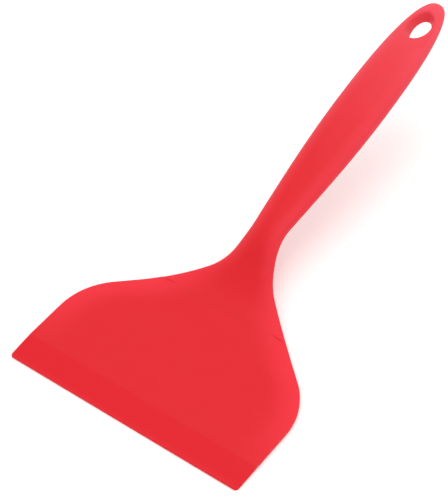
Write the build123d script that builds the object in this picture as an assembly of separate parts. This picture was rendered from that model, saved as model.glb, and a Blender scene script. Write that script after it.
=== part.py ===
"""Wide silicone turner: a flat blade with a bevelled lip, a cranked neck and an
oval grip with a hang hole, moulded over a spring-steel plate and a nylon core."""
from build123d import *
import os
from math import asin, atan, cos, pi, radians, sin, sqrt, tan

# Lengths are in millimetres and angles in degrees. A station is the distance
# along Y from the front of the lip, on the level that the blade lies on.

# Overall
overall_length = 293.0

# Blade
blade_width = 141.0
side_flare = 0.5
shoulder_radius = 38.5
blade_taper = 47.4
blade_thickness = 2.8
lip_thickness = 1.1
bevel_length = 16.0
corner_radius = 2.0
blade_edge_radius = 0.5

# Swelling of the blade's top in front of the heel, where the neck begins
swell_length = 22.0
swell_inner_margin = 13.0
swell_outer_margin = 3.0
swell_sink = 0.1
swell_depth = 2.2

# Spine, the curve that the neck and the grip follow
bend_start = 77.0
heel_setback = 9.0
lower_bend_radius = 53.0
crank_angle = 46.8
upper_bend_radius = 39.0
grip_angle = 14.4

# Neck and grip as seen from above
neck_taper = 48.3
neck_plan_radius = 33.8
waist_station = 128.0
waist_width = 18.7
nose_length = 77.0
grip_width = 28.8

# Neck and grip as seen from the side
root_thickness = 4.4
waist_thickness = 9.4
grip_thickness = 14.4

# Cross section, flatter below at the heel, and rounded end
oval_fullness_share = 0.667
heel_fullness_share = 1.5
nose_power = 2.5

# Flat under the neck, on which the tool stands when it tips back on its grip
rest_angle = 17.6
rest_depth = 0.4

# Hang hole
hole_setback = 20.0
hole_width = 12.2
hole_length = 21.2
hole_rim_radius = 1.2

# Spring-steel plate with its tang
plate_thickness = 0.8
plate_side_margin = 9.0
plate_front_margin = 22.0
plate_corner_radius = 6.0
tang_width = 12.0
tang_root_radius = 12.0
tang_reach = 38.0
flow_hole_diameter = 8.0
flow_hole_pitch = 24.0
flow_row_pitch = 19.0
flow_hole_margin = 7.0
tang_hole_diameter = 5.0
tang_hole_pitch = 15.0
tang_hole_count = 3

# Nylon core of the grip
skin_thickness = 1.8
core_lead = 20.0
core_end_gap = 3.2
slot_width = 8.0
slot_length = 17.0
slot_pitch = 25.0
slot_margin = 11.5

# Modelling aids
overrun = 5.0
neck_section_count = 6
grip_section_count = 4
nose_section_count = 6
swell_row_count = 9
swell_column_count = 33
surface_tolerance = 0.02

blade_half = blade_width / 2
root_half = root_thickness / 2
waist_half = waist_width / 2
grip_half = grip_width / 2
heel_station = bend_start + heel_setback
widest_station = overall_length - nose_length
hole_station = overall_length - hole_setback


def smooth_rise(start, end, station):
    """Runs from 0 at start to 1 at end, level at both."""
    t = min(max((station - start) / (end - start), 0), 1)
    return t * t * (3 - 2 * t)


def spine_ends():
    """Stations and heights where the lower and the upper bend end."""
    crank = radians(crank_angle)
    grip = radians(grip_angle)
    lower_end = bend_start + lower_bend_radius * sin(crank)
    lower_top = root_half + lower_bend_radius * (1 - cos(crank))
    upper_end = lower_end + upper_bend_radius * (sin(crank) - sin(grip))
    upper_top = lower_top + upper_bend_radius * (cos(grip) - cos(crank))
    return lower_end, lower_top, upper_end, upper_top


def spine(station):
    """Height and slope of the spine at a station."""
    lower_end, lower_top, upper_end, upper_top = spine_ends()
    crank = radians(crank_angle)
    if station <= bend_start:
        return root_half, 0
    if station <= lower_end:
        slope = asin((station - bend_start) / lower_bend_radius)
        return root_half + lower_bend_radius * (1 - cos(slope)), slope
    if station <= upper_end:
        slope = asin(sin(crank) - (station - lower_end) / upper_bend_radius)
        return lower_top + upper_bend_radius * (cos(slope) - cos(crank)), slope
    slope = radians(grip_angle)
    return upper_top + (station - upper_end) * tan(slope), slope


def spine_plane(station):
    """Plane square to the spine, with its Y axis pointing up."""
    height, slope = spine(station)
    return Plane(
        origin=(0, station, height),
        x_dir=(1, 0, 0),
        z_dir=(0, -cos(slope), -sin(slope)),
    )


def half_width(station):
    """Half the width of the neck or grip: a taper, an arc, a swell and a nose."""
    taper = radians(neck_taper)
    arc_middle = waist_half + neck_plan_radius
    taper_end = waist_station - neck_plan_radius * sin(taper)
    if station < taper_end:
        width_there = arc_middle - neck_plan_radius * cos(taper)
        return width_there + (taper_end - station) * tan(taper)
    growth = (grip_half - waist_half) / (widest_station - waist_station)
    lean = atan(growth * pi / 2)
    arc_end = waist_station + neck_plan_radius * sin(lean)
    if station < arc_end:
        return arc_middle - sqrt(neck_plan_radius**2 - (station - waist_station) ** 2)
    if station < widest_station:
        start_half = arc_middle - neck_plan_radius * cos(lean)
        t = (station - arc_end) / (widest_station - arc_end)
        return start_half + (grip_half - start_half) * sin(t * pi / 2)
    return grip_half * nose_share(station)


def half_height(station):
    """Half the thickness of the neck or grip."""
    if station < waist_station:
        rise = smooth_rise(heel_station, waist_station, station)
        return (root_thickness + (waist_thickness - root_thickness) * rise) / 2
    if station < widest_station:
        rise = smooth_rise(waist_station, widest_station, station)
        return (waist_thickness + (grip_thickness - waist_thickness) * rise) / 2
    return grip_thickness / 2 * nose_share(station)


def nose_share(station):
    """Fall of width and thickness from the widest station to the tip."""
    t = (station - widest_station) / nose_length
    return (1 - min(t, 1) ** nose_power) ** (1 / nose_power)


def oval_half(half_w, half_h, fullness, way):
    """Upper or lower half of an oval: one cubic from side to side."""
    speed = 6 * fullness * half_h
    return Edge.make_spline(
        [(way * half_w, 0), (0, way * half_h), (-way * half_w, 0)],
        tangents=[(0, way * speed), (0, -way * speed)],
        parameters=[0, 1 / 2, 1],
        scale=False,
    )


def oval(station, inset):
    """Oval square to the spine, set in from the outer form."""
    half_w = half_width(station) - inset
    half_h = half_height(station) - inset
    rise = smooth_rise(heel_station, waist_station, station)
    flatness = heel_fullness_share + (oval_fullness_share - heel_fullness_share) * rise
    upper = oval_half(half_w, half_h, oval_fullness_share, 1)
    lower = oval_half(half_w, half_h, flatness, -1)
    return spine_plane(station) * Face(Wire([upper, lower]))


def oval_top(across, half_w, half_h):
    """Height of an oval's upper half at a distance across from its middle."""
    q = 2 * sin(asin(min(across / half_w, 1)) / 3)
    side = 3 * (1 - oval_fullness_share)
    return half_h * (1 - side * q**2 + (side - 1) * q**3)


def steps(start, end, count):
    """Evenly spaced stations after start, up to and with end."""
    return [start + (end - start) * (k + 1) / count for k in range(count)]


def form(start, end, inset):
    """Solid lofted through ovals between two stations."""
    stations = [start]
    stations += steps(start, waist_station, neck_section_count)
    stations += steps(waist_station, widest_station, grip_section_count)
    quarter = asin(min((end - widest_station) / nose_length, 1))
    stations += [
        widest_station + nose_length * sin(turn)
        for turn in steps(0, quarter, nose_section_count)
    ]
    sections = [oval(s, inset) for s in stations if s < overall_length]
    if end >= overall_length:
        height, slope = spine(overall_length)
        sections.append(Vertex(0, overall_length, height))
    return loft(sections)


def spine_at(station, offset):
    """Point of the side view that lies off the spine, square to it."""
    height, slope = spine(station)
    return station - offset * sin(slope), height + offset * cos(slope)


def spine_strip(low, high):
    """Side view of a strip between two offsets from the spine, as long as the tool."""
    lower_end, lower_top, upper_end, upper_top = spine_ends()
    ends = [0, bend_start, lower_end, upper_end, overall_length]
    middles = [(bend_start + lower_end) / 2, (lower_end + upper_end) / 2]
    edges = []
    for offset in (low, high):
        at = [spine_at(s, offset) for s in ends]
        turn = [spine_at(s, offset) for s in middles]
        edges += [
            Line(at[0], at[1]),
            ThreePointArc(at[1], turn[0], at[2]),
            ThreePointArc(at[2], turn[1], at[3]),
            Line(at[3], at[4]),
        ]
    edges.append(Line(spine_at(0, low), spine_at(0, high)))
    edges.append(Line(spine_at(overall_length, low), spine_at(overall_length, high)))
    return Face(Wire(edges))


def from_side(profile):
    """Solid with a side view's profile, wider than the blade."""
    upright = Plane(origin=(0, 0, 0), x_dir=(0, 1, 0), z_dir=(1, 0, 0))
    return extrude(upright * profile, amount=blade_half + overrun, both=True)


def from_above(outline):
    """Solid with a plan view's outline, taller than the tool."""
    return extrude(outline, amount=overall_length / 2, both=True)


def mirrored(right):
    """Face between a right edge, its mirror image and straight lines at both ends."""
    left = [edge.mirror(Plane.YZ) for edge in right]
    ends = [right[0] @ 0, right[-1] @ 1]
    closing = [Line((-end.X, end.Y), (end.X, end.Y)) for end in ends]
    return Face(Wire(right + left + closing))


def shoulder_start():
    """Station where the side meets the shoulder, whose taper runs on to the heel."""
    taper = radians(blade_taper)
    arc_half = blade_half - shoulder_radius * (1 - cos(taper))
    taper_length = (arc_half - half_width(heel_station)) / tan(taper)
    return heel_station - taper_length - shoulder_radius * sin(taper)


def shoulder(radius):
    """Middle and end of an arc round the centre of the blade's shoulder."""
    centre = blade_half - shoulder_radius
    taper = radians(blade_taper)
    return [
        (centre + radius * cos(turn), shoulder_start() + radius * sin(turn))
        for turn in (taper / 2, taper)
    ]


def blade_outline():
    """Blade seen from above: flared sides, round shoulders and a straight taper."""
    side_end = (blade_half, shoulder_start())
    arc_mid, arc_end = shoulder(shoulder_radius)
    face = mirrored(
        [
            Line((blade_half - side_flare, 0), side_end),
            ThreePointArc(side_end, arc_mid, arc_end),
            Line(arc_end, (half_width(heel_station), heel_station)),
        ]
    )
    return fillet(face.vertices().group_by(Axis.Y)[0], corner_radius)


def bend_height(offset, station):
    """Height of a line that runs at an offset from the spine, on the lower bend."""
    along = max(station - bend_start, 0)
    radius = lower_bend_radius - offset
    return root_half + lower_bend_radius - sqrt(radius**2 - along**2)


def swell_height(across, station):
    """Height of the swelling: the neck's oval, fading to just under the blade's top."""
    top_offset = blade_thickness - root_half
    neck_half = half_width(heel_station)
    neck_offset = oval_top(across, neck_half, root_half)
    rise = bend_height(neck_offset, heel_station) - bend_height(top_offset, heel_station)
    along = smooth_rise(heel_station - swell_length, heel_station, station)
    inner = neck_half - swell_inner_margin
    outer = neck_half - swell_outer_margin
    out = smooth_rise(inner, outer, across)
    swell = (rise + swell_sink) * along * (1 - out) - swell_sink
    return bend_height(top_offset, station) + swell


def swelling():
    """Solid whose top swells up to the neck, and whose base lies inside the blade."""
    front = heel_station - swell_length
    side = half_width(heel_station) - swell_outer_margin / 2
    rows = [front] + steps(front, heel_station, swell_row_count - 1)
    columns = [-side] + steps(-side, side, swell_column_count - 1)
    grid = [[Vector(x, y, swell_height(abs(x), y)) for x in columns] for y in rows]
    surface = Face.make_surface_from_array_of_points(grid, tol=surface_tolerance)
    return extrude(surface, amount=swell_depth, dir=(0, 0, -1))


def outline_edges(body):
    """Edges round the blade's top and bottom, without the heel's."""
    chosen = []
    for edge in body.edges():
        box = edge.bounding_box()
        upright = box.size.X + box.size.Y < blade_edge_radius
        across = abs(box.center().X) < blade_edge_radius
        at_front = box.max.Y < blade_edge_radius
        if not upright and (at_front or not across):
            chosen.append(edge)
    return chosen


def blade_form():
    """Blade without the plate's cavity."""
    level = spine_strip(-root_half, blade_thickness - root_half)
    ahead = -overrun
    drop_per_length = (blade_thickness - lip_thickness) / bevel_length
    over_lip = Polyline(
        (ahead, lip_thickness + ahead * drop_per_length),
        (bevel_length, blade_thickness),
        (bevel_length, blade_thickness + overrun),
        (ahead, blade_thickness + overrun),
        close=True,
    )
    body = from_above(blade_outline()) & from_side(level)
    body -= from_side(Face(Wire(over_lip.edges())))
    return fillet(outline_edges(body), blade_edge_radius) + swelling()


def plate_half(station):
    """Half the plate's width between its front and the tang."""
    centre = blade_half - shoulder_radius
    radius = shoulder_radius - plate_side_margin
    taper = radians(blade_taper)
    arc_rise = radius * sin(taper)
    along = station - shoulder_start()
    if along < 0:
        return centre + radius
    if along < arc_rise:
        return centre + sqrt(radius**2 - along**2)
    return centre + radius * cos(taper) - (along - arc_rise) * tan(taper)


def plate_outline():
    """Plate seen from above: a fan with a narrow tang."""
    side_end = (plate_half(0), shoulder_start())
    arc_mid, arc_end = shoulder(shoulder_radius - plate_side_margin)
    tang_half = tang_width / 2
    root = arc_end[1] + (arc_end[0] - tang_half) / tan(radians(blade_taper))
    tang_end = waist_station + tang_reach
    face = mirrored(
        [
            Line((plate_half(0), plate_front_margin), side_end),
            ThreePointArc(side_end, arc_mid, arc_end),
            Line(arc_end, (tang_half, root)),
            Line((tang_half, root), (tang_half, tang_end)),
        ]
    )
    rows = face.vertices().group_by(Axis.Y)
    face = fillet(rows[0], plate_corner_radius)
    roots = face.vertices().filter_by_position(Axis.Y, root - overrun, root + overrun)
    return fillet(roots, tang_root_radius)


def flow_holes():
    """Centres of the plate's holes, in staggered rows."""
    radius = flow_hole_diameter / 2
    centres = []
    station = plate_front_margin + flow_hole_margin + radius
    row = 0
    while plate_half(station + radius) > flow_hole_pitch:
        room = plate_half(station + radius) - flow_hole_margin - radius
        across = flow_hole_pitch / 2 if row % 2 else 0
        while across < room:
            sides = (1, -1) if across else (1,)
            centres += [(side * across, station) for side in sides]
            across += flow_hole_pitch
        station += flow_row_pitch
        row += 1
    return centres


def make_blade_plate():
    """Spring-steel plate: a fan with flow holes, and a tang bent along the spine."""
    middle = blade_thickness / 2 - root_half
    half = plate_thickness / 2
    outline = plate_outline()
    for across, station in flow_holes():
        outline -= Pos(across, station) * Circle(flow_hole_diameter / 2)
    for k in range(tang_hole_count):
        station = waist_station + tang_reach - tang_width / 2 - k * tang_hole_pitch
        outline -= Pos(0, station) * Circle(tang_hole_diameter / 2)
    return from_side(spine_strip(middle - half, middle + half)) & from_above(outline)


def grip_bore(station, width, length):
    """Oval bore straight through the grip."""
    height, slope = spine(station)
    face_plane = Plane(
        origin=(0, station, height), x_dir=(1, 0, 0), z_dir=(0, -sin(slope), cos(slope))
    )
    return face_plane * extrude(
        Ellipse(width / 2, length / 2), amount=grip_thickness, both=True
    )


def make_handle_core(plate):
    """Nylon core: the grip's form set in by the skin, with an eye and flow slots."""
    start = waist_station - core_lead
    core = form(start, overall_length - core_end_gap, skin_thickness)
    eye_width = hole_width + 2 * skin_thickness
    eye_length = hole_length + 2 * skin_thickness
    core -= grip_bore(hole_station, eye_width, eye_length)
    station = waist_station + tang_reach + slot_margin + slot_length / 2
    while station < hole_station - eye_length / 2 - slot_margin:
        core -= grip_bore(station, slot_width, slot_length)
        station += slot_pitch
    return core - plate


def under_rest():
    """Space under the flat on which the tipped tool stands."""
    angle = radians(rest_angle)
    station = bend_start + lower_bend_radius * sin(angle)
    across, up = spine_at(station, rest_depth - half_height(station))
    reach = lower_bend_radius / 2
    deep = overrun
    corners = [(-reach, 0), (reach, 0), (reach, -deep), (-reach, -deep)]
    floor = Polyline(*corners, close=True).rotate(Axis.Z, rest_angle)
    return from_side(Face(Wire((Pos(across, up) * floor).edges())))


def make_handle_skin(plate, core):
    """Silicone over neck and grip, from the blade's heel to the tip."""
    body = form(bend_start, overall_length, 0) - under_rest()
    body -= Pos(0, heel_station, 0) * Box(
        blade_width,
        heel_station,
        overall_length,
        align=(Align.CENTER, Align.MAX, Align.CENTER),
    )
    body -= grip_bore(hole_station, hole_width, hole_length)
    near = hole_station - hole_length
    rims = body.edges().filter_by_position(Axis.Y, near, hole_station + hole_length / 2)
    body = fillet(rims.filter_by(GeomType.LINE, reverse=True), hole_rim_radius)
    return body - core - plate


def make_blade(plate):
    """Silicone blade moulded round the plate."""
    return blade_form() - plate


def build():
    """The tool's pieces by name, with the origin under the middle."""
    plate = make_blade_plate()
    core = make_handle_core(plate)
    pieces = {
        "blade": make_blade(plate),
        "handle_skin": make_handle_skin(plate, core),
        "blade_plate": plate,
        "handle_core": core,
    }
    return {name: Pos(0, -overall_length / 2, 0) * p for name, p in pieces.items()}


os.makedirs("parts", exist_ok=True)
for name, piece in build().items():
    export_step(piece, f"parts/{name}.step")
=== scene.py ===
from math import asin, atan, atan2, cos, pi, radians, sin, sqrt, tan

import bmesh
import bpy
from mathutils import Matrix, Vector


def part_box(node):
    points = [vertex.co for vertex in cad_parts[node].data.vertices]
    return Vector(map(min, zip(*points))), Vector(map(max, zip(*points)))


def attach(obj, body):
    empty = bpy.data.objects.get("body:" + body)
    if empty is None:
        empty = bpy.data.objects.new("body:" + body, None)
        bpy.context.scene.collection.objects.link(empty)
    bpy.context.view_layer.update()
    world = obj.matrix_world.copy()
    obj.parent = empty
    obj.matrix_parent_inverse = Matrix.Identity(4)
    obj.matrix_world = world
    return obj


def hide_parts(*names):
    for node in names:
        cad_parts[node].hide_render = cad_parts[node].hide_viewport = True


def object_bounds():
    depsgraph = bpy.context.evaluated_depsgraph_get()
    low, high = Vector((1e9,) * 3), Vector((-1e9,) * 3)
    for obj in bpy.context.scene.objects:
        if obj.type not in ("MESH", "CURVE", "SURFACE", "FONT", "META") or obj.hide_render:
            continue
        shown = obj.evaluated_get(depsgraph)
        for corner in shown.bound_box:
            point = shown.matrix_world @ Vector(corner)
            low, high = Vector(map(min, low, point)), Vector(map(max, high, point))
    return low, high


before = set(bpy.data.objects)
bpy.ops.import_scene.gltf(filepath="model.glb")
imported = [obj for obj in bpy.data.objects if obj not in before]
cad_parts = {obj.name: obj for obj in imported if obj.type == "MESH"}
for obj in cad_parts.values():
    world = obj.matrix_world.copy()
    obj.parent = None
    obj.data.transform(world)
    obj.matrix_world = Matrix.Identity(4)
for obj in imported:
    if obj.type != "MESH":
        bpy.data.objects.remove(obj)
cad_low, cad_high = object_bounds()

bl_info = {
    "name": "Silicone turner",
    "version": (1, 0, 0),
    "blender": (4, 5, 0),
    "location": "3D View > Sidebar > Turner",
    "description": "Fine silicone skins, materials and a studio for the packed turner",
    "category": "Object",
}

# Everything is in metres. A station is the distance along Y from the front of
# the lip, so a place along Y is the lip's own place plus the station.
mm = 0.001
BODY = "root"
# The mesh attribute holds each vertex's shares of the painted glow, painted sheen and painted
# bevel shade.
TONES = "tones"
blade_low, blade_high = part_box("blade")
LIP_Y = blade_low.y
BLADE_HALF = blade_high.x
HEEL = blade_high.y - LIP_Y
LENGTH = 293 * mm

# Rows and columns of the blade's mesh
HALF_COLUMNS = 44
CORNER_STEPS = 8
BEVEL_STEPS = 8
SIDE_STEPS = 12
SHOULDER_STEPS = 14
TAPER_STEPS = 16
EDGE_STEPS = 5
BEVEL_BLEND = 1 * mm

# Rings of the handle's mesh, and the gap in them round the hang hole
HALF_AROUND = 36
NECK_STEPS = 34
GRIP_STEPS = 34
NOSE_STEPS = 64
NOSE_TURN = radians(89.6)
HEEL_ROUNDS = 4
FIRST_RING = 1.5 * mm
GAP_ALONG = 1.6 * mm
GAP_ACROSS = 0.9 * mm
APRON_STEPS = 6
RIM_STEPS = 6
WALL_STEPS = 3
SLOPE_STEP = 0.1 * mm

SHARP_ANGLE = radians(50)


def length(name, text, default):
    """A size in millimetres that a user can change."""
    return bpy.props.FloatProperty(
        name=name, description=text, default=default * mm, unit="LENGTH", precision=5
    )


def angle(name, text, default):
    """An angle in degrees that a user can change."""
    return bpy.props.FloatProperty(
        name=name, description=text, default=radians(default), subtype="ANGLE"
    )


def share(name, text, default):
    """A plain number that a user can change."""
    return bpy.props.FloatProperty(name=name, description=text, default=default)


def colour(name, text, default):
    """A linear colour that a user can change."""
    return bpy.props.FloatVectorProperty(
        name=name, description=text, default=default, subtype="COLOR", min=0, max=1
    )


class SpineSizes(bpy.types.PropertyGroup):
    """The curve that the neck and the grip follow."""

    bend_start: length("Bend start", "Station where the blade's level ends", 77)
    lower_radius: length("Lower bend radius", "Radius of the upward bend", 53)
    crank: angle("Crank angle", "Steepest slope of the neck", 46.8)
    upper_radius: length("Upper bend radius", "Radius of the bend back", 39)
    grip: angle("Grip angle", "Slope of the grip", 14.4)
    root_thickness: length("Root thickness", "Thickness of the neck at the heel", 4.4)


class BladeSizes(bpy.types.PropertyGroup):
    """Sizes of the flat blade."""

    side_flare: length("Side flare", "How far each side leans out", 0.5)
    shoulder_radius: length("Shoulder radius", "Radius of the rear corners", 38.5)
    taper: angle("Taper", "Angle between the rear edges and the middle line", 47.4)
    thickness: length("Thickness", "Thickness behind the bevel", 2.8)
    lip_thickness: length("Lip thickness", "Thickness at the front edge", 1.1)
    bevel_length: length("Bevel length", "Depth of the bevelled lip", 16)
    corner_radius: length("Corner radius", "Radius of the front corners", 2)
    edge_radius: length("Edge radius", "Rounding of the upper and lower edges", 0.5)
    swell_length: length("Swell length", "Reach of the neck's swelling", 22)
    swell_inner: length("Swell inner margin", "Where the swelling starts to fade", 11)
    swell_outer: length("Swell outer margin", "Where the swelling has faded", 1.5)
    swell_sink: length("Swell sink", "How deep the swelling starts in the blade", 0.1)
    # The side and front margins set how far the painted glow, light shining through the thin
    # silicone, reaches in from the outline.
    glow_side_reach: length("Side margin", "Silicone beside the plate, which is paler", 18)
    side_fade: length("Side fade", "Station from which the side margin is at its palest", 60)
    glow_front_reach: length("Front margin", "Paler strip along the front edge", 4)


class HandleSizes(bpy.types.PropertyGroup):
    """Sizes of the neck and the grip."""

    neck_taper: angle("Neck taper", "Angle of the flared neck's sides", 48.3)
    neck_radius: length("Neck radius", "Plan radius between flare and grip", 33.8)
    waist_station: length("Waist station", "Place of the narrowest section", 128)
    waist_width: length("Waist width", "Width of the narrowest section", 18.7)
    waist_thickness: length("Waist thickness", "Thickness at the waist", 9.4)
    nose_length: length("Nose length", "From the widest section to the tip", 77)
    grip_width: length("Grip width", "Width of the widest section", 28.8)
    grip_thickness: length("Grip thickness", "Thickness of the widest section", 14.4)
    fullness: share("Fullness", "Roundness of the oval section", 0.667)
    heel_fullness: share("Heel fullness", "Flatness of the underside at the heel", 1.5)
    rest_angle: angle("Rest angle", "Slope of the flat that the tipped tool stands on", 17.6)
    rest_depth: length("Rest depth", "Depth of that flat in the neck's underside", 0.4)
    nose_power: share("Nose power", "Bluntness of the rounded end", 2.5)
    hole_setback: length("Hole setback", "From the tip to the hole's middle", 20)
    hole_width: length("Hole width", "Width of the hang hole", 12.2)
    hole_length: length("Hole length", "Length of the hang hole", 21.2)
    rim_radius: length("Rim radius", "Rounding of the hole's rims", 1.6)
    hole_draft: length("Hole draft", "How much nearer the hole's wall is below", 1.3)
    # The grip's side margin is how far the painted glow through its thin sides reaches.
    glow_side_reach: length("Side margin", "Paler strip along the grip's sides", 9)


class Finish(bpy.types.PropertyGroup):
    """Colours and gloss of the silicone and of what lies inside it, with the painted glow,
    sheen and shade on the silicone.
    """

    silicone: colour("Silicone", "Colour of the silicone", (0.785, 0.016, 0.025))
    # Margin is a painted glow: light shining through the thin silicone clear of the plate,
    # painted as a paler red.
    margin: colour("Margin", "Colour round the blade, clear of the plate", (0.91, 0.032, 0.052))
    # Bevel is painted shade: the bevelled lip tilts away from the lamp and loses sheen, painted
    # as a deeper red.
    bevel: colour("Bevel", "Colour of the bevelled lip", (0.785, 0.010, 0.021))
    # Tip is a painted sheen with painted light through the silicone, paler towards the grip's
    # end and on the grip's side bands.
    tip: colour("Tip", "Colour of the grip's end", (0.90, 0.083, 0.114))
    # How much of the painted glow the front edge and the grip's sides get.
    front_glow: share("Front paleness", "Share of the margin at the front edge", 0.5)
    side_glow: share("Side paleness", "Share of the margin at the grip's sides", 0.5)
    side_band_light: share("Band paleness", "Share of the tip's colour in the side bands", 0.45)
    cloudiness: share("Cloudiness", "How much the colour varies", 0.008)
    depth: length("Light depth", "How far light spreads inside the silicone", 1.5)
    depth_shares: colour("Depth shares", "How far red, green and blue spread", (1, 0.15, 0.2))
    scatter: share("Scatter", "Share of the light that enters the silicone", 0.3)
    roughness: share("Roughness", "Roughness of the satin surface", 0.5)
    unevenness: share("Unevenness", "How much the roughness varies", 0.02)
    gloss: share("Gloss", "Strength of reflections, 0.5 is plain", 0.25)
    ior: share("Refraction", "Index of refraction of the silicone", 1.41)
    steel: colour("Steel", "Colour of the spring steel", (0.62, 0.61, 0.59))
    nylon: colour("Nylon", "Colour of the nylon core", (0.03, 0.03, 0.03))


class Studio(bpy.types.PropertyGroup):
    """Camera, lamp, room light and floor."""

    camera_place: bpy.props.FloatVectorProperty(
        name="Camera place",
        description="Where the camera stands",
        default=(0.3006, -0.4762, 0.5825),
        subtype="TRANSLATION",
    )
    camera_target: bpy.props.FloatVectorProperty(
        name="Camera target",
        description="Point in the middle of the picture",
        default=(-0.0261, -0.0232, 0.0),
        subtype="TRANSLATION",
    )
    lens: share("Lens", "Focal length in millimetres on a 36 mm frame", 108)
    lamp_place: bpy.props.FloatVectorProperty(
        name="Lamp place",
        description="Middle of the soft lamp",
        default=(0.08, 0.1, 1.0),
        subtype="TRANSLATION",
    )
    lamp_size: length("Lamp size", "Side of the soft lamp", 900)
    lamp_power: share("Lamp power", "Power in watts", 3.2)
    room_light: share("Room light", "Strength of the even light", 0.785)
    floor: colour("Floor", "Colour of the floor", (0.90, 0.895, 0.885))
    floor_lift: share("Floor lift", "Brightness of the floor in the picture", 1.28)


def smooth_rise(start, end, place):
    """Runs from 0 at start to 1 at end, level at both."""
    t = min(max((place - start) / (end - start), 0), 1)
    return t * t * (3 - 2 * t)


def spread(start, end, count):
    """Evenly spaced places after start, up to and with end."""
    return [start + (end - start) * (k + 1) / count for k in range(count)]


class Spine:
    """Places along the curve that the neck and the grip follow."""

    def __init__(self, sizes):
        self.start = sizes.bend_start
        self.lower = sizes.lower_radius
        self.upper = sizes.upper_radius
        self.crank = sizes.crank
        self.grip = sizes.grip
        self.height = sizes.root_thickness / 2
        self.lower_end = self.start + self.lower * sin(self.crank)
        turn_back = sin(self.crank) - sin(self.grip)
        self.upper_end = self.lower_end + self.upper * turn_back

    def run(self, station):
        """Length of the curve from the lip to a station."""
        if station <= self.start:
            return station
        if station <= self.lower_end:
            return self.start + self.lower * asin((station - self.start) / self.lower)
        lower_run = self.start + self.lower * self.crank
        if station <= self.upper_end:
            slope = asin(sin(self.crank) - (station - self.lower_end) / self.upper)
            return lower_run + self.upper * (self.crank - slope)
        upper_run = lower_run + self.upper * (self.crank - self.grip)
        return upper_run + (station - self.upper_end) / cos(self.grip)

    def bend_height(self, offset, station):
        """Height of a line at an offset from the curve, on the lower bend."""
        along = max(station - self.start, 0)
        radius = self.lower - offset
        return self.height + self.lower - sqrt(radius**2 - along**2)

    def flat_offset(self, station, slope, offset):
        """Offset of a flat that has the given slope and offset where the bend has it."""
        turn = asin(min((station - self.start) / self.lower, 1)) - slope
        return self.lower - (self.lower - offset) / cos(turn)


def nose_share(station, handle):
    """Fall of width and thickness from the widest station to the tip."""
    t = (station - (LENGTH - handle.nose_length)) / handle.nose_length
    power = handle.nose_power
    return (1 - min(t, 1) ** power) ** (1 / power)


def half_width(station, handle):
    """Half the width of the neck or grip: a taper, an arc, a swell and a nose."""
    waist_half = handle.waist_width / 2
    grip_half = handle.grip_width / 2
    radius = handle.neck_radius
    middle = waist_half + radius
    waist = handle.waist_station
    widest = LENGTH - handle.nose_length
    taper_end = waist - radius * sin(handle.neck_taper)
    if station < taper_end:
        width_there = middle - radius * cos(handle.neck_taper)
        return width_there + (taper_end - station) * tan(handle.neck_taper)
    lean = atan((grip_half - waist_half) / (widest - waist) * pi / 2)
    arc_end = waist + radius * sin(lean)
    if station < arc_end:
        return middle - sqrt(radius**2 - (station - waist) ** 2)
    if station < widest:
        start_half = middle - radius * cos(lean)
        t = (station - arc_end) / (widest - arc_end)
        return start_half + (grip_half - start_half) * sin(t * pi / 2)
    return grip_half * nose_share(station, handle)


def half_height(station, spine, handle):
    """Half the thickness of the neck or grip."""
    root, waist = 2 * spine.height, handle.waist_thickness
    widest = LENGTH - handle.nose_length
    if station < handle.waist_station:
        rise = smooth_rise(HEEL, handle.waist_station, station)
        return (root + (waist - root) * rise) / 2
    if station < widest:
        rise = smooth_rise(handle.waist_station, widest, station)
        return (waist + (handle.grip_thickness - waist) * rise) / 2
    return handle.grip_thickness / 2 * nose_share(station, handle)


def oval_across(q):
    """Share of the half width at the parameter q, from 0 in the middle to 1."""
    return (3 * q - q**3) / 2


def oval_up(q, fullness):
    """Share of the half thickness at the parameter q."""
    side = 3 * (1 - fullness)
    return 1 - side * q**2 + (side - 1) * q**3


def oval_parameter(across_share):
    """The parameter q at a share of the half width."""
    return 2 * sin(asin(min(across_share, 1)) / 3)


class Mesh:
    """Vertices and faces of a piece while it is being made."""

    def __init__(self):
        self.points = []
        self.faces = []
        self.tones = []

    def add(self, x, y, z, tones):
        """Adds a vertex with its shares of the tones and gives its number."""
        self.points.append((x, y, z))
        self.tones.append(tones)
        return len(self.points) - 1

    def face(self, *corners):
        """Adds a face, leaving out a corner that comes twice."""
        kept = [c for k, c in enumerate(corners) if c != corners[k - 1]]
        self.faces.append(kept)

    def band(self, one, other, closed=False):
        """Faces between two rows of as many vertices."""
        count = len(one) if closed else len(one) - 1
        for k in range(count):
            n = (k + 1) % len(one)
            self.face(one[k], one[n], other[n], other[k])

    def make(self, name):
        """The finished object, with its faces pointing outwards."""
        mesh = bpy.data.meshes.new(name)
        mesh.from_pydata(self.points, [], self.faces)
        tones = mesh.attributes.new(TONES, "FLOAT_VECTOR", "POINT")
        tones.data.foreach_set("vector", [share for point in self.tones for share in point])
        work = bmesh.new()
        work.from_mesh(mesh)
        bmesh.ops.recalc_face_normals(work, faces=work.faces)
        if work.calc_volume(signed=True) < 0:
            bmesh.ops.reverse_faces(work, faces=work.faces)
        work.to_mesh(mesh)
        work.free()
        mesh.polygons.foreach_set("use_smooth", [True] * len(mesh.polygons))
        mesh.set_sharp_from_angle(angle=SHARP_ANGLE)
        piece = bpy.data.objects.new(name, mesh)
        bpy.context.scene.collection.objects.link(piece)
        return piece


def place_piece(piece, node, material):
    """Gives a finished piece its material and its body, and hides the CAD node that it stands
    for.
    """
    piece.data.materials.clear()
    piece.data.materials.append(material)
    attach(piece, BODY)
    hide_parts(node)


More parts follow.
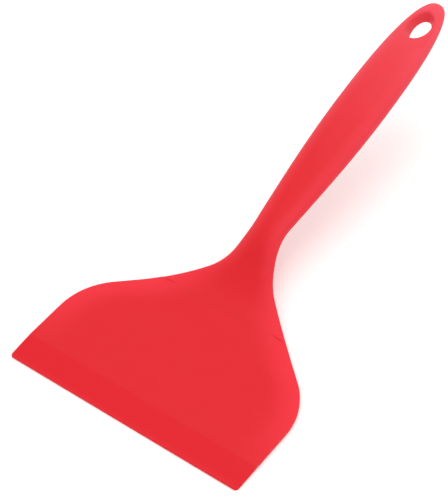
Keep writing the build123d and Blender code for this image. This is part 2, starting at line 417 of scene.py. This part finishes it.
def blade_edge(blade, heel_half, inset):
    """Right ends of the blade's rows, inset from its outline.

    Each end is a place across, a station and the way that points outwards.
    """
    start_x = BLADE_HALF - blade.side_flare
    tau = blade.taper
    radius = blade.shoulder_radius
    arc_half = BLADE_HALF - radius * (1 - cos(tau))
    shoulder_y = HEEL - (arc_half - heel_half) / tan(tau) - radius * sin(tau)
    lean = atan(blade.side_flare / shoulder_y)
    corner_y = blade.corner_radius
    corner_x = start_x + (corner_y * sin(lean) - blade.corner_radius) / cos(lean)
    ends = []
    for turn in [-pi / 2] + spread(-pi / 2, -lean, CORNER_STEPS):
        way = (cos(turn), sin(turn))
        reach = blade.corner_radius - inset
        ends.append((corner_x + reach * way[0], corner_y + reach * way[1], way))
    bevel = blade.bevel_length
    side = spread(corner_y, bevel - BEVEL_BLEND, BEVEL_STEPS)
    side += [bevel, bevel + BEVEL_BLEND]
    side += spread(bevel + BEVEL_BLEND, shoulder_y, SIDE_STEPS)[:-1]
    for y in side:
        x = start_x + (y * sin(lean) - inset) / cos(lean)
        ends.append((x, y, (cos(lean), -sin(lean))))
    for turn in [0] + spread(0, tau, SHOULDER_STEPS):
        way = (cos(turn), sin(turn))
        reach = radius - inset
        x = BLADE_HALF - radius + reach * way[0]
        ends.append((x, shoulder_y + reach * way[1], way))
    last_x, last_y, way = ends[-1]
    for y in spread(last_y, HEEL, TAPER_STEPS):
        ends.append((last_x - (y - last_y) * tan(tau), y, way))
    # The last row's rounding points across, so that it stays on the heel's plane.
    x, y, way = ends[-1]
    ends[-1] = (x, y, (1 / cos(tau), 0))
    return ends


def blade_top(x, y, spine, blade, fullness, heel_half):
    """Height of the blade's top: bevel, flat, bend and swelling into the neck."""
    if y < blade.bevel_length:
        rise = blade.thickness - blade.lip_thickness
        return blade.lip_thickness + rise * y / blade.bevel_length
    top = blade.thickness - spine.height
    q = oval_parameter(abs(x) / heel_half)
    neck = spine.height * oval_up(q, fullness)
    rise = spine.bend_height(neck, HEEL) - spine.bend_height(top, HEEL)
    along = smooth_rise(HEEL - blade.swell_length, HEEL, y)
    out = smooth_rise(heel_half - blade.swell_inner, heel_half - blade.swell_outer, abs(x))
    swell = (rise + blade.swell_sink) * along * (1 - out) - blade.swell_sink
    return spine.bend_height(top, y) + max(swell, 0)


def blade_tones(x, y, x_end, way, blade, front_glow):
    """Shares of the painted glow, painted sheen and painted bevel shade at a place on the
    blade.
    """
    # The outline runs aslant, so it is nearer than the distance along the row.
    slant = min(way[0], 1 / way[0]) if y > blade.corner_radius else 1
    side = 1 - smooth_rise(0, blade.glow_side_reach, (x_end - abs(x)) * slant)
    side *= smooth_rise(0, blade.side_fade, y)
    front = 1 - smooth_rise(0, blade.glow_front_reach, y)
    # Margin is the share of the painted glow through the thin edge.
    margin = max(side, front_glow * front)
    # Painted shade on the bevel, where it tilts away from the lamp.
    fade = smooth_rise(blade.bevel_length - BEVEL_BLEND, blade.bevel_length, y)
    return margin, 0, (1 - fade) * (1 - margin)


def make_blade_piece():
    """Fine mesh of the blade: two grids, with rounded edges between them."""
    scene = bpy.context.scene
    blade, handle = scene.turner_blade, scene.turner_handle
    front_glow = scene.turner_finish.front_glow
    spine = Spine(scene.turner_spine)
    heel_half = half_width(HEEL, handle)
    radius = blade.edge_radius
    ends = blade_edge(blade, heel_half, radius)
    mesh = Mesh()
    top, low = [], []
    for x_end, y, way in ends:
        under = spine.bend_height(-spine.height, y)
        top.append([])
        low.append([])
        for column in range(-HALF_COLUMNS, HALF_COLUMNS + 1):
            x = x_end * column / HALF_COLUMNS
            z = blade_top(x, y, spine, blade, handle.fullness, heel_half)
            tones = blade_tones(x, y, x_end, way, blade, front_glow)
            top[-1].append(mesh.add(x, y + LIP_Y, z, tones))
            low[-1].append(mesh.add(x, y + LIP_Y, under, tones))
    for k in range(len(ends) - 1):
        mesh.band(top[k], top[k + 1])
        mesh.band(low[k], low[k + 1])
    rows = range(len(ends))
    last_column = 2 * HALF_COLUMNS
    # Left side from the heel to the lip, the lip, and the right side back.
    around = [(-1, k, 0) for k in reversed(rows)]
    around += [(0, 0, c) for c in range(1, last_column)]
    around += [(1, k, last_column) for k in rows]
    rings = [[top[k][c] for side, k, c in around]]
    turns = spread(0, pi / 2, EDGE_STEPS)
    halves = [(top, -1, turns), (low, 1, list(reversed(turns)))]
    for grid, down, steps in halves:
        for turn in steps:
            ring = []
            for side, k, c in around:
                way = ends[k][2] if side else (0, -1)
                x, y, z = mesh.points[grid[k][c]]
                out = radius * sin(turn)
                x += (side or 1) * way[0] * out
                z += down * radius * (1 - cos(turn))
                ring.append(mesh.add(x, y + way[1] * out, z, mesh.tones[grid[k][c]]))
            rings.append(ring)
    rings.append([low[k][c] for side, k, c in around])
    for one, other in zip(rings, rings[1:]):
        mesh.band(one, other)
    mesh.band(top[-1], low[-1])
    for end in (0, -1):
        mesh.face(*[ring[end] for ring in rings])
    return mesh.make("blade_silicone")


def handle_stations(handle):
    """Stations of the rings of the neck and the grip, behind the heel's own ring."""
    widest = LENGTH - handle.nose_length
    first = HEEL + FIRST_RING
    stations = [first] + spread(first, handle.waist_station, NECK_STEPS)
    stations += spread(handle.waist_station, widest, GRIP_STEPS)
    turns = spread(0, NOSE_TURN, NOSE_STEPS)
    return stations + [widest + handle.nose_length * sin(turn) for turn in turns]


def hole_rings(handle, spine, edge, draft):
    """Rows of points from the edge of the gap in the grid to the hole's middle.

    Each row holds places across and along the grip from the hole's middle, with
    the height on the upper side. The draft is how much nearer the wall stands
    at the rim than the stated size.
    """
    half_across, half_along = handle.hole_width / 2, handle.hole_length / 2
    a, b = half_across - draft, half_along - draft
    closer = handle.hole_draft / 2
    waist_a, waist_b = half_across - closer, half_along - closer
    radius = handle.rim_radius
    middle = LENGTH - handle.hole_setback

    def up(x, along):
        """Height of the grip's upper side at a place round the hole."""
        station = middle + along * cos(spine.grip)
        q = oval_parameter(abs(x) / half_width(station, handle))
        return half_height(station, spine, handle) * oval_up(q, handle.fullness)

    spokes = []
    for x, along in edge:
        turn = atan2(x / waist_a, along / waist_b)
        waist = Vector((waist_a * sin(turn), waist_b * cos(turn)))
        hole = Vector((a * sin(turn), b * cos(turn)))
        way = Vector((hole.x / a**2, hole.y / b**2)).normalized()
        far = hole + way * radius
        step = way * SLOPE_STEP
        lean = atan((up(*(far + step)) - up(*(far - step))) / (2 * SLOPE_STEP))
        touch = radius * (1 - sin(lean))
        start = hole + way * touch
        centre = up(*start) - radius * cos(lean)
        outer = Vector((x, along))
        apron = [outer.lerp(start, t) for t in spread(0, 1, APRON_STEPS)]
        spoke = [(*place, up(*place)) for place in apron]
        for turn_now in spread(pi / 2 + lean, pi, RIM_STEPS):
            place = hole + way * (radius + radius * cos(turn_now))
            spoke.append((*place, centre + radius * sin(turn_now)))
        for t in spread(0, 1, WALL_STEPS):
            spoke.append((*hole.lerp(waist, t), centre * (1 - t)))
        spokes.append(spoke)
    return list(zip(*spokes))


def tip_sheen(station, handle):
    """Share of the painted sheen, which grows from the waist to the tip."""
    along = (station - handle.waist_station) / (LENGTH - handle.waist_station)
    return max(along, 0) ** 2


class HandleForm:
    """Places and tones on the skin of the neck and the grip, before they are bent.

    A place is the distance across and the offset from the spine. The vertices of
    a ring are numbered from one side over the top to the other and back below.
    """

    def __init__(self):
        scene = bpy.context.scene
        self.blade = scene.turner_blade
        self.handle = scene.turner_handle
        self.finish = scene.turner_finish
        self.spine = Spine(scene.turner_spine)
        self.turns = [1 - 2 * k / HALF_AROUND for k in range(HALF_AROUND + 1)]
        rest_sine = sin(self.handle.rest_angle)
        self.tipped = self.spine.start + self.spine.lower * rest_sine
        height = half_height(self.tipped, self.spine, self.handle)
        self.deepest = self.handle.rest_depth - height

    def flat(self, station):
        """Lowest offset that the flat under the neck leaves."""
        spine = self.spine
        if station > self.tipped + spine.lower / 2:
            return -spine.lower
        return spine.flat_offset(station, self.handle.rest_angle, self.deepest)

    def parameter(self, k):
        """The oval's parameter at the k-th vertex, from 1 over 0 to -1."""
        return self.turns[min(k, 2 * HALF_AROUND - k)]

    def tones(self, k, station):
        """Shares of the painted glow, painted sheen and painted bevel shade at a vertex of a
        ring.
        """
        handle, finish = self.handle, self.finish
        share_out = abs(oval_across(self.parameter(k)))
        clear = half_width(station, handle) * (1 - share_out)
        rise = smooth_rise(HEEL, handle.waist_station, station)
        # The neck's sides run aslant, so they are nearer than the distance across.
        slant = cos(handle.neck_taper)
        clear *= slant + (1 - slant) * rise
        fall = smooth_rise(HEEL, (HEEL + handle.waist_station) / 2, station)
        reach = self.blade.glow_side_reach
        reach += (handle.glow_side_reach - self.blade.glow_side_reach) * fall
        # Painted glow through the thin sides, weaker on the grip.
        most = 1 + (finish.side_glow - 1) * fall
        side = most * (1 - smooth_rise(0, reach, clear))
        # Painted sheen: it grows towards the tip and lies along the grip's side bands.
        tip = tip_sheen(station, handle) + finish.side_band_light * rise * side
        return side, min(tip, 1), 0

    def place(self, k, station):
        """Place across and offset of the k-th vertex of a ring."""
        handle = self.handle
        q = self.parameter(k)
        rise = smooth_rise(HEEL, handle.waist_station, station)
        lower = handle.heel_fullness + (handle.fullness - handle.heel_fullness) * rise
        upper = k <= HALF_AROUND
        up = oval_up(abs(q), handle.fullness if upper else lower)
        x = half_width(station, handle) * oval_across(q)
        offset = half_height(station, self.spine, handle) * up
        if upper:
            return x, offset
        return x, max(-offset, self.flat(station))

    def heel_place(self, k):
        """The same, with its station, on the upright plane of the heel."""
        spine = self.spine
        station = HEEL
        for _ in range(HEEL_ROUNDS):
            x, offset = self.place(k, station)
            along = (HEEL - spine.start) * spine.lower / (spine.lower - offset)
            station = spine.start + along
        return x, station, offset


def add_rings(mesh, form, stations):
    """Rings of vertices: the heel's, and one at each station."""
    around = range(2 * HALF_AROUND)
    rings = [[]]
    for k in around:
        x, station, offset = form.heel_place(k)
        run = form.spine.run(station)
        rings[0].append(mesh.add(x, run, offset, form.tones(k, station)))
    for station in stations:
        run = form.spine.run(station)
        ring = []
        for k in around:
            x, offset = form.place(k, station)
            ring.append(mesh.add(x, run, offset, form.tones(k, station)))
        rings.append(ring)
    return rings


def hole_gap(form, stations):
    """First and last ring, and first and last vertex, of the gap for the hole."""
    handle = form.handle
    middle = LENGTH - handle.hole_setback
    half_along = handle.hole_length / 2 + handle.rim_radius + GAP_ALONG
    reach = half_along * cos(form.spine.grip)
    first = max(i for i, s in enumerate(stations) if s < middle - reach) + 1
    last = min(i for i, s in enumerate(stations) if s > middle + reach) + 1
    clear = handle.hole_width / 2 + handle.rim_radius + GAP_ACROSS
    q_clear = oval_parameter(clear / half_width(middle, handle))
    low_k = max(k for k in range(HALF_AROUND // 2) if form.turns[k] > q_clear)
    return first, last, low_k, HALF_AROUND - low_k


def join_rings(mesh, rings, gap):
    """Faces between the rings, apart from the gap above and below."""
    first, last, low_k, high_k = gap
    around = range(2 * HALF_AROUND)
    for i in range(len(rings) - 1):
        for k in around:
            upper = low_k <= k < high_k
            lower = 2 * HALF_AROUND - high_k <= k < 2 * HALF_AROUND - low_k
            if not (first <= i < last and (upper or lower)):
                n = (k + 1) % len(around)
                mesh.face(rings[i][k], rings[i][n], rings[i + 1][n], rings[i + 1][k])


def add_hole(mesh, form, rings, gap):
    """Closes the gap with the hang hole's rims and wall."""
    first, last, low_k, high_k = gap
    handle, spine = form.handle, form.spine
    middle = LENGTH - handle.hole_setback
    outline = [(first, k) for k in range(low_k, high_k)]
    outline += [(i, high_k) for i in range(first, last)]
    outline += [(last, k) for k in range(high_k, low_k, -1)]
    outline += [(i, low_k) for i in range(last, first, -1)]
    hole_run = spine.run(middle)
    edge_points = [mesh.points[rings[i][k]] for i, k in outline]
    edge = [(x, y - hole_run) for x, y, z in edge_points]

    def add_row(row, up):
        """Vertices of one of the hole's rows, on the upper or the lower side."""
        made = []
        for x, y, z in row:
            # The hole's rows take the painted sheen of their station.
            tones = (0, tip_sheen(middle + y * cos(spine.grip), handle), 0)
            made.append(mesh.add(x, hole_run + y, z * up, tones))
        return made

    upper = [[rings[i][k] for i, k in outline]]
    lower = [[rings[i][2 * HALF_AROUND - k] for i, k in outline]]
    upper += [add_row(row, 1) for row in hole_rings(handle, spine, edge, 0)]
    below = hole_rings(handle, spine, edge, handle.hole_draft)
    lower += [add_row(row, -1) for row in below[:-1]] + upper[-1:]
    for side in (upper, lower):
        for one, other in zip(side, side[1:]):
            mesh.band(one, other, closed=True)


def close_ends(mesh, form, rings):
    """Closes the tip with a fan and the heel with a flat cap."""
    around = range(2 * HALF_AROUND)
    # The tip's point takes the full painted sheen.
    tip = mesh.add(0, form.spine.run(LENGTH), 0, (0, 1, 0))
    for k in around:
        mesh.face(rings[-1][k], rings[-1][(k + 1) % len(around)], tip)
    heel = rings[0]
    for k in range(HALF_AROUND):
        below = (2 * HALF_AROUND - k) % (2 * HALF_AROUND)
        mesh.face(heel[k], heel[k + 1], heel[below - 1], heel[below])


def straight_handle():
    """Neck and grip before they are bent: across, length along the spine, offset."""
    form = HandleForm()
    mesh = Mesh()
    stations = handle_stations(form.handle)
    rings = add_rings(mesh, form, stations)
    gap = hole_gap(form, stations)
    join_rings(mesh, rings, gap)
    add_hole(mesh, form, rings, gap)
    close_ends(mesh, form, rings)
    return mesh.make("handle_silicone")


class Sums:
    """Adds math nodes to a tree, one with each call."""

    def __init__(self, tree):
        self.tree = tree

    def __call__(self, operation, *values):
        node = self.tree.nodes.new("ShaderNodeMath")
        node.operation = operation
        for socket, value in zip(node.inputs, values):
            if isinstance(value, bpy.types.NodeSocket):
                self.tree.links.new(value, socket)
            else:
                socket.default_value = value
        return node.outputs[0]


def crank_tree():
    """Geometry nodes that bend a straight form along the spine."""
    tree = bpy.data.node_groups.new("Bend along the spine", "GeometryNodeTree")
    add = tree.interface.new_socket
    add(name="Geometry", in_out="INPUT", socket_type="NodeSocketGeometry")
    for name in (
        "Bend start",
        "Lower bend radius",
        "Crank angle",
        "Upper bend radius",
        "Grip angle",
        "Spine height",
        "Lip place",
    ):
        add(name=name, in_out="INPUT", socket_type="NodeSocketFloat")
    add(name="Material", in_out="INPUT", socket_type="NodeSocketMaterial")
    add(name="Geometry", in_out="OUTPUT", socket_type="NodeSocketGeometry")
    nodes, link = tree.nodes, tree.links.new
    given = nodes.new("NodeGroupInput").outputs
    start, lower, crank = given["Bend start"], given["Lower bend radius"], given["Crank angle"]
    upper, grip = given["Upper bend radius"], given["Grip angle"]
    position = nodes.new("GeometryNodeInputPosition")
    parts = nodes.new("ShaderNodeSeparateXYZ")
    link(position.outputs[0], parts.inputs[0])
    x, run, offset = parts.outputs
    do = Sums(tree)
    turn_back = do("SUBTRACT", crank, grip)
    lower_run = do("MULTIPLY_ADD", lower, crank, start)
    upper_run = do("MULTIPLY_ADD", upper, turn_back, lower_run)
    raised = do("DIVIDE", do("SUBTRACT", run, start), lower)
    raised = do("MINIMUM", do("MAXIMUM", raised, 0), crank)
    lowered = do("DIVIDE", do("SUBTRACT", run, lower_run), upper)
    lowered = do("MINIMUM", do("MAXIMUM", lowered, 0), turn_back)
    on_upper = do("SUBTRACT", crank, lowered)
    slope = do("SUBTRACT", raised, lowered)
    beyond = do("MAXIMUM", do("SUBTRACT", run, upper_run), 0)
    along = do("MULTIPLY_ADD", lower, do("SINE", raised), do("MINIMUM", run, start))
    back = do("SUBTRACT", do("SINE", crank), do("SINE", on_upper))
    along = do("MULTIPLY_ADD", upper, back, along)
    along = do("MULTIPLY_ADD", beyond, do("COSINE", grip), along)
    rise = do("SUBTRACT", 1, do("COSINE", raised))
    height = do("MULTIPLY_ADD", lower, rise, given["Spine height"])
    rise = do("SUBTRACT", do("COSINE", on_upper), do("COSINE", crank))
    height = do("MULTIPLY_ADD", upper, rise, height)
    height = do("MULTIPLY_ADD", beyond, do("SINE", grip), height)
    along = do("SUBTRACT", along, do("MULTIPLY", offset, do("SINE", slope)))
    along = do("ADD", along, given["Lip place"])
    height = do("MULTIPLY_ADD", offset, do("COSINE", slope), height)
    place = nodes.new("ShaderNodeCombineXYZ")
    for value, socket in zip((x, along, height), place.inputs):
        link(value, socket)
    move = nodes.new("GeometryNodeSetPosition")
    link(given["Geometry"], move.inputs["Geometry"])
    link(place.outputs[0], move.inputs["Position"])
    real = nodes.new("GeometryNodeRealizeInstances")
    link(move.outputs[0], real.inputs[0])
    paint = nodes.new("GeometryNodeSetMaterial")
    link(real.outputs[0], paint.inputs["Geometry"])
    link(given["Material"], paint.inputs["Material"])
    out = nodes.new("NodeGroupOutput")
    link(paint.outputs[0], out.inputs[0])
    return tree


def bend_piece(piece, material):
    """Bends a straight piece along the spine and leaves a plain mesh."""
    sizes = bpy.context.scene.turner_spine
    tree = crank_tree()
    modifier = piece.modifiers.new("Bend", "NODES")
    modifier.node_group = tree
    values = {
        "Bend start": sizes.bend_start,
        "Lower bend radius": sizes.lower_radius,
        "Crank angle": sizes.crank,
        "Upper bend radius": sizes.upper_radius,
        "Grip angle": sizes.grip,
        "Spine height": sizes.root_thickness / 2,
        "Lip place": LIP_Y,
        "Material": material,
    }
    for socket in tree.interface.items_tree:
        if socket.in_out == "INPUT" and socket.name in values:
            modifier[socket.identifier] = values[socket.name]
    bpy.context.view_layer.update()
    seen = piece.evaluated_get(bpy.context.evaluated_depsgraph_get())
    bent = bpy.data.meshes.new_from_object(seen)
    straight = piece.data
    piece.modifiers.clear()
    piece.data = bent
    bpy.data.meshes.remove(straight)
    bent.name = piece.name
    return piece


def material_with(name):
    """A new material, its tree and its shader."""
    material = bpy.data.materials.new(name)
    material.use_nodes = True
    tree = material.node_tree
    return material, tree, tree.nodes["Principled BSDF"]


def noise(tree, scale, detail, stretch=(1, 1, 1)):
    """Noise on the object's own coordinates."""
    where = tree.nodes.new("ShaderNodeTexCoord")
    turned = tree.nodes.new("ShaderNodeMapping")
    turned.inputs["Scale"].default_value = stretch
    texture = tree.nodes.new("ShaderNodeTexNoise")
    texture.inputs["Scale"].default_value = scale
    texture.inputs["Detail"].default_value = detail
    tree.links.new(where.outputs["Object"], turned.inputs["Vector"])
    tree.links.new(turned.outputs["Vector"], texture.inputs["Vector"])
    return texture.outputs["Fac"]


def between(tree, factor, low, high, from_low=0.3, from_high=0.7):
    """A number that follows a factor from low to high."""
    node = tree.nodes.new("ShaderNodeMapRange")
    node.inputs["From Min"].default_value = from_low
    node.inputs["From Max"].default_value = from_high
    node.inputs["To Min"].default_value = low
    node.inputs["To Max"].default_value = high
    tree.links.new(factor, node.inputs["Value"])
    return node.outputs["Result"]


def blend(tree, factor, one, other):
    """A colour between two, each a colour or a socket."""
    node = tree.nodes.new("ShaderNodeMix")
    node.data_type = "RGBA"
    sockets = [s for s in node.inputs if s.type == "RGBA"]
    for socket, value in zip(sockets, (one, other)):
        if isinstance(value, bpy.types.NodeSocket):
            tree.links.new(value, socket)
        else:
            socket.default_value = (*value, 1)
    tree.links.new(factor, node.inputs["Factor"])
    return next(s for s in node.outputs if s.type == "RGBA")


def add_bump(tree, shader, height, strength, distance):
    """Fine relief on a shader."""
    bump = tree.nodes.new("ShaderNodeBump")
    bump.inputs["Strength"].default_value = strength
    bump.inputs["Distance"].default_value = distance
    tree.links.new(height, bump.inputs["Height"])
    tree.links.new(bump.outputs["Normal"], shader.inputs["Normal"])


def silicone_material():
    """Satin silicone: cloudy colour, painted glow at the thin edges, painted sheen towards the
    grip's end, painted shade on the bevel, fine grain and uneven gloss.
    """
    finish = bpy.context.scene.turner_finish
    material, tree, shader = material_with("silicone")
    base = Vector(finish.silicone)
    low, high = base * (1 - finish.cloudiness), base * (1 + finish.cloudiness)
    cloud = between(tree, noise(tree, scale=26, detail=3), 0, 1)
    tone = blend(tree, cloud, tuple(low), tuple(high))
    shares = tree.nodes.new("ShaderNodeAttribute")
    shares.attribute_name = TONES
    parts = tree.nodes.new("ShaderNodeSeparateXYZ")
    tree.links.new(shares.outputs["Vector"], parts.inputs[0])
    # Paints the glow, sheen and bevel shade over the cloudy colour, by their shares.
    for part, paint in zip(parts.outputs, (finish.margin, finish.tip, finish.bevel)):
        tone = blend(tree, part, tone, tuple(paint))
    tree.links.new(tone, shader.inputs["Base Color"])
    shader.inputs["IOR"].default_value = finish.ior
    shader.inputs["Specular IOR Level"].default_value = finish.gloss
    shader.inputs["Subsurface Weight"].default_value = finish.scatter
    shader.inputs["Subsurface Scale"].default_value = finish.depth
    shader.inputs["Subsurface Radius"].default_value = finish.depth_shares
    dull = finish.roughness + finish.unevenness
    smooth = finish.roughness - finish.unevenness
    rough = between(tree, noise(tree, scale=90, detail=4), smooth, dull)
    tree.links.new(rough, shader.inputs["Roughness"])
    grain = noise(tree, scale=1400, detail=2)
    add_bump(tree, shader, grain, strength=0.06, distance=0.3 * mm)
    return material


def steel_material():
    """Spring steel with fine lines along the blade from rolling."""
    material, tree, shader = material_with("spring_steel")
    shader.inputs["Metallic"].default_value = 1
    lines = noise(tree, scale=300, detail=3, stretch=(12, 1, 1))
    base = Vector(bpy.context.scene.turner_finish.steel)
    dark = base * 0.9
    paint = blend(tree, between(tree, lines, 0, 1), tuple(dark), tuple(base))
    tree.links.new(paint, shader.inputs["Base Color"])
    rough = between(tree, lines, low=0.26, high=0.38)
    tree.links.new(rough, shader.inputs["Roughness"])
    add_bump(tree, shader, lines, strength=0.1, distance=0.1 * mm)
    return material


def nylon_material():
    """Dark moulded nylon with glass fibres that leave a dull, clouded skin."""
    material, tree, shader = material_with("glass_filled_nylon")
    base = Vector(bpy.context.scene.turner_finish.nylon)
    pale = base * 1.7
    cloud = noise(tree, scale=120, detail=5)
    paint = blend(tree, between(tree, cloud, 0, 1), tuple(base), tuple(pale))
    tree.links.new(paint, shader.inputs["Base Color"])
    rough = between(tree, cloud, low=0.52, high=0.68)
    tree.links.new(rough, shader.inputs["Roughness"])
    fibres = noise(tree, scale=900, detail=3)
    add_bump(tree, shader, fibres, strength=0.12, distance=0.2 * mm)
    return material


def silicone():
    """The one silicone material, made at its first use."""
    return bpy.data.materials.get("silicone") or silicone_material()


class TURNER_OT_blade(bpy.types.Operator):
    """Makes the silicone blade, with its bevelled lip and rounded edges"""

    bl_idname = "turner.blade"
    bl_label = "Make blade"

    def execute(self, context):
        place_piece(make_blade_piece(), "blade", silicone())
        return {"FINISHED"}


class TURNER_OT_handle(bpy.types.Operator):
    """Makes the silicone neck and grip, bent along the spine, with the hang hole"""

    bl_idname = "turner.handle"
    bl_label = "Make handle"

    def execute(self, context):
        piece = bend_piece(straight_handle(), silicone())
        place_piece(piece, "handle_skin", silicone())
        return {"FINISHED"}


class TURNER_OT_inserts(bpy.types.Operator):
    """Finishes the steel plate and the nylon core that the silicone closes round"""

    bl_idname = "turner.inserts"
    bl_label = "Finish inserts"

    def execute(self, context):
        finishes = {"blade_plate": steel_material(), "handle_core": nylon_material()}
        for name, material in finishes.items():
            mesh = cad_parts[name].data
            mesh.materials.clear()
            mesh.materials.append(material)
        return {"FINISHED"}


def shown_light(tree):
    """1 where a surface is seen directly, in a reflection or through something."""
    path = tree.nodes.new("ShaderNodeLightPath")
    do = Sums(tree)
    seen = do("MAXIMUM", path.outputs["Is Camera Ray"], path.outputs["Is Glossy Ray"])
    return do("MAXIMUM", seen, path.outputs["Is Transmission Ray"])


def floor_material():
    """Pale floor, shown a little brighter, so that it is white outside the shadow."""
    studio = bpy.context.scene.turner_studio
    material, tree, shader = material_with("floor")
    base = Vector(studio.floor)
    paint = blend(tree, shown_light(tree), tuple(base), tuple(base * studio.floor_lift))
    diffuse = tree.nodes.new("ShaderNodeBsdfDiffuse")
    tree.links.new(paint, diffuse.inputs["Color"])
    out = tree.nodes["Material Output"]
    tree.links.new(diffuse.outputs[0], out.inputs["Surface"])
    tree.nodes.remove(shader)
    return material


def make_floor():
    """A wide flat floor just under the blade."""
    side, sunk = 3, 0.05 * mm
    corners = [(-side, -side), (side, -side), (side, side), (-side, side)]
    mesh = bpy.data.meshes.new("floor")
    points = [(x, y, cad_low.z - sunk) for x, y in corners]
    mesh.from_pydata(points, [], [(0, 1, 2, 3)])
    mesh.materials.append(floor_material())
    floor = bpy.data.objects.new("floor", mesh)
    bpy.context.scene.collection.objects.link(floor)


def make_room_light():
    """Even light from all round, seen as white."""
    studio = bpy.context.scene.turner_studio
    world = bpy.data.worlds.new("room")
    world.use_nodes = True
    tree = world.node_tree
    background = tree.nodes["Background"]
    shown = shown_light(tree)
    strength = between(tree, shown, studio.room_light, 1, from_low=0, from_high=1)
    tree.links.new(strength, background.inputs["Strength"])
    background.inputs["Color"].default_value = (1, 1, 1, 1)
    bpy.context.scene.world = world


def aim(thing, place, target):
    """Puts a lamp or camera at a place, looking at a target."""
    thing.location = place
    way = Vector(target) - Vector(place)
    thing.rotation_euler = way.to_track_quat("-Z", "Y").to_euler()


def make_lamp():
    """One soft lamp above."""
    studio = bpy.context.scene.turner_studio
    lamp = bpy.data.lights.new("soft_lamp", "AREA")
    lamp.energy = studio.lamp_power
    lamp.size = studio.lamp_size
    thing = bpy.data.objects.new("soft_lamp", lamp)
    bpy.context.scene.collection.objects.link(thing)
    aim(thing, studio.lamp_place, (0, 0, 0))


def make_camera():
    """Camera at the photograph's angle."""
    studio = bpy.context.scene.turner_studio
    camera = bpy.data.cameras.new("camera")
    camera.lens = studio.lens
    camera.clip_start = 10 * mm
    thing = bpy.data.objects.new("camera", camera)
    bpy.context.scene.collection.objects.link(thing)
    aim(thing, studio.camera_place, studio.camera_target)
    bpy.context.scene.camera = thing


class TURNER_OT_stage(bpy.types.Operator):
    """Makes the floor, the light and the camera"""

    bl_idname = "turner.stage"
    bl_label = "Make stage"

    def execute(self, context):
        make_floor()
        make_room_light()
        make_lamp()
        make_camera()
        context.scene.view_settings.view_transform = "Standard"
        return {"FINISHED"}


class TURNER_PT_panel(bpy.types.Panel):
    """Lists the steps and the sizes and colours"""

    bl_idname = "TURNER_PT_panel"
    bl_label = "Silicone turner"
    bl_space_type = "VIEW_3D"
    bl_region_type = "UI"
    bl_category = "Turner"

    def draw(self, context):
        for operator in OPERATORS:
            self.layout.operator(operator.bl_idname)
        for attribute, group in GROUPS.items():
            box = self.layout.box()
            box.label(text=group.__doc__)
            for name in group.__annotations__:
                box.prop(getattr(context.scene, attribute), name)


GROUPS = {
    "turner_spine": SpineSizes,
    "turner_blade": BladeSizes,
    "turner_handle": HandleSizes,
    "turner_finish": Finish,
    "turner_studio": Studio,
}
OPERATORS = (
    TURNER_OT_blade,
    TURNER_OT_handle,
    TURNER_OT_inserts,
    TURNER_OT_stage,
)


def register():
    """Registers the groups, the steps and the panel."""
    for item in (*GROUPS.values(), *OPERATORS, TURNER_PT_panel):
        bpy.utils.register_class(item)
    for attribute, group in GROUPS.items():
        pointer = bpy.props.PointerProperty(type=group)
        setattr(bpy.types.Scene, attribute, pointer)


def unregister():
    """Takes them out again."""
    for attribute in GROUPS:
        delattr(bpy.types.Scene, attribute)
    for item in (TURNER_PT_panel, *OPERATORS, *GROUPS.values()):
        bpy.utils.unregister_class(item)


def main():
    """Makes every piece and the stage."""
    register()
    bpy.ops.turner.blade()
    bpy.ops.turner.handle()
    bpy.ops.turner.inserts()
    bpy.ops.turner.stage()


if __name__ == "__main__":
    main()
